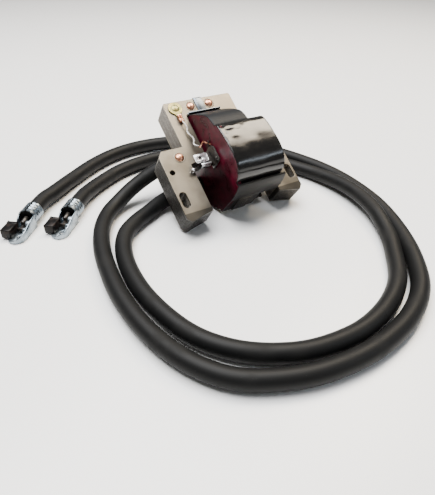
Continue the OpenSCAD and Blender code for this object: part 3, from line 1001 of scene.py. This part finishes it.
def make_spade():
    """Quick-connect blade with a dimple drawn in dark steel as painted shade, its lower lip, and a
    foot that runs to its rivet.
    """
    low = BLADE_Z - BLADE_W / 2
    blade = filleted(rectangle(BLADE_TIP, low, -15.9, low + BLADE_W), 1.5)
    outlines = [blade, circle(DIMPLE_X, BLADE_Z, 1.05, 20)]
    top = moved(flat_sheet(outlines, 0.8, 0.18), at_depth(BLADE_Y + 0.4))
    lip = bent_strip([(BLADE_Y + 0.5, low - 0.7), (BLADE_Y + 0.4, low - 1.9),
                      (-3.2, low - 2.2)], 0.6, -22.2, -15.2, 0.7, along_x)
    lay("spade_blade", joined([top, lip]), "tin_plate", "spade_terminal")
    edge = [ARM @ Vector((x, BLADE_Y + 0.1, z)) for x, z in inset(blade, 0.35)]
    claim(curve_piece("spade_rolled_edge", [edge], 0.28 * MM, 3, cyclic=True), "tin_plate")
    # the dimple is a dark steel cup in the blade's hole: painted shade in the recess
    dimple = moved(lathe([(1.1, 0.15), (0.9, 0.45), (0.5, 0.68), (0, 0.74), (0, 0.95),
                          (1.1, 0.9)], 24),
                   Matrix.Translation((DIMPLE_X, BLADE_Y - 0.02, BLADE_Z)) @ THROUGH)
    plate = filleted([(-17.4, low - 1.2), (FACE_X, low - 1.2), (FACE_X, low + 6.7),
                      (-15.6, low + 6.7), (-17.4, low + 5.2)], 0.8)
    back = moved(flat_sheet([plate], 0.7, 0.12), at_depth(BLADE_Y + 1.0))
    foot = filleted([(-29, low - 3.0), (-24, low - 3.0), (-22.6, low - 1.9), (FACE_X, low - 1.9),
                     (FACE_X, low + 0.1), (-22.6, low + 0.1), (-24, low - 0.5),
                     (-29, low - 0.5)], 0.9)
    bottom = moved(flat_sheet([foot], 0.8, 0.18), at_depth(-2.4))
    web = slab(rectangle(BLADE_Y + 0.7, low - 2.6, -2.0, low + 6.3), FACE_X - 0.8, FACE_X,
               along_x, 0.25)
    lay("spade_foot", joined([dimple, back, bottom, web]), "dark_steel")


def make_bracket():
    """Dark plate on the resin with a turned-up tab, and the dome of a small rivet."""
    plate = filleted([(-12, 14.5), (-0.6, 14.5), (-0.6, 27.5), (-8.4, 27.5), (-12, 24.6)], 1.2)
    body = slab(plate, FACE_X, CASE_LEFT, along_x, 0.15)
    tab = bent_strip([(-7.4, 27.2), (-9.4, 29.0), (-9.6, 30.2)], 0.5, FACE_X - 0.5, FACE_X + 0.4,
                     0.6, along_x, 0.08)
    head = lathe([(0, -0.55), (0.7, -0.5), (1.15, -0.3), (1.3, 0), (0, 0.05)], 24)
    stud = moved(head, Matrix.Translation((FACE_X, -9.4, 17.4))
                 @ Matrix.Rotation(math.pi / 2, 4, "Y"))
    lay("spade_bracket", joined([body, tab, stud]), "dark_steel", "terminal_bracket")
    rivet = lathe([(0, -2.0), (0.6, -1.95), (1.05, -1.6), (1.3, -1.1), (1.3, 0), (0, 0.02)], 24)
    place = Matrix.Translation(FOOT_RIVET) @ THROUGH
    dome = moved(rivet, place)
    second = moved(lathe([(0, -3.5), (0.6, -3.4), (1.0, -3.1), (1.1, -2.8), (0, -2.7)], 20),
                   place)
    lay("foot_rivet", joined([dome, second]), "tin_plate", "terminal_rivet")


make_ring_terminal()
make_wires()
make_spade()
make_bracket()

# ---- plug clips

CLIP_Z = 0.2
CLIP_T = 0.7
FOLD_T = 0.55
CLIP_W = 11.0
CLIP_L = 21.0
BARREL_L = 9.0
BARREL_Z = 6.0
STUD = (14.5, 1.9, 2.2)         # the stud hole's X, Y and radius
GROOVES = (-7.0, -4.6, -2.2)


def clip_place(side):
    """The frame of a clip: X along the lead where it ends, Y to its left, Z up."""
    route = ROUTES[side]
    end = Vector((*route[-1][:2], 0))
    way = Vector(route[-1]) - Vector(route[-2])
    return Matrix.Translation(end) @ Matrix.Rotation(math.atan2(way.y, way.x), 4, "Z") @ ROW


def clip_barrel():
    """Sheet rolled round the lead, pinched by three grooves, a little open at its seam."""
    bm = bmesh.new()
    sides, steps = 40, 44
    half_seam = math.radians(6)
    inner, outer = [], []
    for i in range(steps + 1):
        x = -BARREL_L + (BARREL_L + 1) * i / steps
        groove = sum(math.exp(-((x - c) / 0.55) ** 2) for c in GROOVES)
        flare = 0.05 * math.exp(-((x + BARREL_L) / 0.7) ** 2)
        for ring, radius in ((inner, 5.12), (outer, 5.8 - 0.55 * groove + flare)):
            row = []
            for k in range(sides + 1):
                angle = math.pi / 2 + half_seam + (2 * math.pi - 2 * half_seam) * k / sides
                row.append(bm.verts.new((x, radius * math.cos(angle),
                                         BARREL_Z + min(radius * math.sin(angle), 5.8))))
            ring.append(row)
    for ring in (inner, outer):
        for a, b in zip(ring, ring[1:]):
            for k in range(sides):
                bm.faces.new((a[k], a[k + 1], b[k + 1], b[k]))
    for k in range(sides):
        for i in (0, steps):
            bm.faces.new((inner[i][k], inner[i][k + 1], outer[i][k + 1], outer[i][k]))
    for i in range(steps):
        for k in (0, sides):
            bm.faces.new((inner[i][k], inner[i + 1][k], outer[i + 1][k], outer[i][k]))
    return to_mesh(bm)


def clip_floor():
    """Floor strip with a round end and the stud's hole, and the line of the hole's lip."""
    reach = CLIP_L - CLIP_W / 2
    outline = [(1, -CLIP_W / 2)] + circle(reach, 0, CLIP_W / 2, 24, -math.pi / 2, math.pi) \
        + [(reach, CLIP_W / 2), (1, CLIP_W / 2)]
    sheet = flat_sheet([outline, circle(*STUD, 28)], CLIP_T, 0.15)
    lift = CLIP_Z + CLIP_T / 2
    lip = [Vector((x, y, CLIP_Z + CLIP_T)) for x, y in circle(STUD[0], STUD[1], 2.5, 28)]
    return moved(sheet, Matrix.Translation((0, 0, lift))), lip


def clip_wall(x0, x1, y, height, drop):
    """Side wall whose top falls away in a long curve towards the clip's end."""
    outline = [(x0, CLIP_Z), (x1, CLIP_Z), (x1, CLIP_Z + height - drop)]
    outline += [(x1 + (x0 - x1) * k / 8, CLIP_Z + height - drop * (1 - k / 8) ** 2)
                for k in range(1, 9)]
    return slab(outline, y, y + CLIP_T, along_y, 0.18)


def round_end():
    """Low wall that wraps the clip's round end, as far as the long wall goes."""
    bm = bmesh.new()
    reach = CLIP_L - CLIP_W / 2
    rows = []
    for k in range(15):
        angle = math.pi / 2 - math.pi * 0.62 * k / 14
        height = 1.2 + 4.6 * (1 - k / 14) ** 1.3
        row = []
        for radius, z in ((CLIP_W / 2, CLIP_Z), (CLIP_W / 2, CLIP_Z + height),
                          (CLIP_W / 2 - CLIP_T, CLIP_Z + height), (CLIP_W / 2 - CLIP_T, CLIP_Z)):
            row.append(bm.verts.new((reach + radius * math.cos(angle),
                                     radius * math.sin(angle), z)))
        rows.append(row)
    for a, b in zip(rows, rows[1:]):
        for k in range(4):
            bm.faces.new((a[k], a[(k + 1) % 4], b[(k + 1) % 4], b[k]))
    for row in (rows[0], rows[-1]):
        bm.faces.new(row)
    return softened(bm, 0.12)


def fold(points, width, y):
    """A narrow tongue of sheet folded along points in X and Z."""
    return bent_strip(points, FOLD_T, y - width / 2, y + width / 2, 0.8, along_y, 0.1)


def make_clip(side):
    place = clip_place(side)
    floor_sheet, lip = clip_floor()
    neck = CLIP_Z + CLIP_T / 2
    meshes = [clip_barrel(), floor_sheet, clip_wall(0.6, 15.5, CLIP_W / 2 - CLIP_T, 8.6, 3.6),
              clip_wall(0.6, 6.0, -CLIP_W / 2, 7.6, 4.2), round_end(),
              fold([(4.2, 6.4), (6.2, 7.0), (7.9, 5.8), (8.4, 3.0), (8.9, neck)], 2.4, 3.3),
              fold([(9.6, 4.4), (11.0, 5.2), (12.4, 4.4), (13.0, 2.0)], 2.4, 3.5),
              fold([(-0.5, neck + 0.6), (1.2, neck + 0.2), (4, neck)], 8.4, 0)]
    claim(mesh_object(f"clip_{side}", joined(meshes), place), "zinc_plate",
          f"plug_clip_{side}")
    ring = curve_piece(f"clip_stud_lip_{side}", [[place @ p for p in lip]], 0.32 * MM, 3,
                       cyclic=True)
    claim(ring, "zinc_plate")
    return [f"clip_{side}", f"clip_stud_lip_{side}"]


def make_block(side):
    """Phenolic block with a stepped top and a wire ring on its outer corner."""
    place = clip_place(side)
    low = CLIP_Z + CLIP_T
    body = slab(rectangle(7.1, low, 17.4, low + 5.9), -9.2, -2.9, along_y, 0.6, 3)
    rib = slab(rectangle(7.0, low + 2.8, 9.2, low + 6.0), -9.3, -2.8, along_y, 0.35)
    claim(mesh_object(f"block_{side}", joined([body, rib]), place), "block_black",
          f"plug_block_{side}")
    loop = [Vector((7.4 + x, -9.0, low + 5.2 + z)) for x, z in circle(0, 0, 0.95, 20)]
    ring = curve_piece(f"block_ring_{side}", [[place @ p for p in loop]], 0.2 * MM, 3,
                       cyclic=True)
    claim(ring, "tin_plate")
    return [f"block_{side}", f"block_ring_{side}"]


def make_spring(side):
    """Dark spring strip with a hooked end, and the rod above it, from the barrel onwards."""
    place = clip_place(side)
    low = CLIP_Z + CLIP_T
    strip = bent_strip([(1.2, low + 2.6), (4, low + 2.0), (7.4, low + 1.4), (9.6, low + 0.8),
                        (10.3, low + 1.4), (10.3, low + 3.6)], 0.7, -2, 2, 1.2, along_y, 0.1)
    rod = lathe([(0, 0), (1.3, 0.1), (1.45, 0.4), (1.45, 5.6), (1.2, 6.0), (0, 6.1)], 24)
    rod = moved(rod, Matrix.Translation((0.6, -0.4, low + 5.2)) @ Matrix.Rotation(
        math.radians(97), 4, "Y"))
    claim(mesh_object(f"spring_{side}", joined([strip, rod]), place), "dark_steel",
          f"plug_spring_{side}")
    return [f"spring_{side}"]


for side in ROUTES:
    on_lead = make_clip(side) + make_block(side) + make_spring(side)

# ---- pieces kept from the CAD

record_slots = {part["node"]: part["material_slot"] for part in frame["record"]["subparts"]}
for name, node in frame["nodes"].items():
    node.data.materials.clear()
    node.data.materials.append(LOOKS[record_slots[name]])

# ---- stage


FLOOR_HALF = 3
FLOOR_Z = -0.0002       # just under the lowest point of the case
SKY = 0.22


def make_floor():
    bm = bmesh.new()
    bmesh.ops.create_grid(bm, x_segments=1, y_segments=1, size=FLOOR_HALF)
    mesh = bpy.data.meshes.new("floor")
    bm.to_mesh(mesh)
    bm.free()
    floor = linked("floor", mesh)
    floor.location.z = FLOOR_Z
    look = Look("floor", 0.32)
    mesh.materials.append(look.set(Base_Color=(0.93, 0.93, 0.925, 1)))


def area_light(name, at, target, size, power, color=(1, 1, 1)):
    data = bpy.data.lights.new(name, "AREA")
    data.shape = "RECTANGLE"
    data.size, data.size_y = size
    data.energy = power
    data.color = color
    light = linked(name, data)
    light.location = at
    light.rotation_euler = (Vector(target) - Vector(at)).to_track_quat("-Z", "Y").to_euler()


def make_lights():
    area_light("key", (0.56, 0.17, 0.86), (0, 0, 0.02), (0.35, 0.45), 12.5, (1, 0.86, 0.66))
    area_light("top", (-0.12, 0.22, 1.1), (0, 0, 0), (1.0, 0.8), 40)
    area_light("strip", (0.5, -0.62, 0.5), (0, 0, 0.02), (0.5, 0.08), 1.2, (0.8, 0.9, 1))
    world = bpy.data.worlds.new("studio")
    world.use_nodes = True
    sky = world.node_tree.nodes["Background"].inputs
    sky["Color"].default_value = (1, 1, 1, 1)
    sky["Strength"].default_value = SKY
    scene.world = world


make_floor()
make_lights()
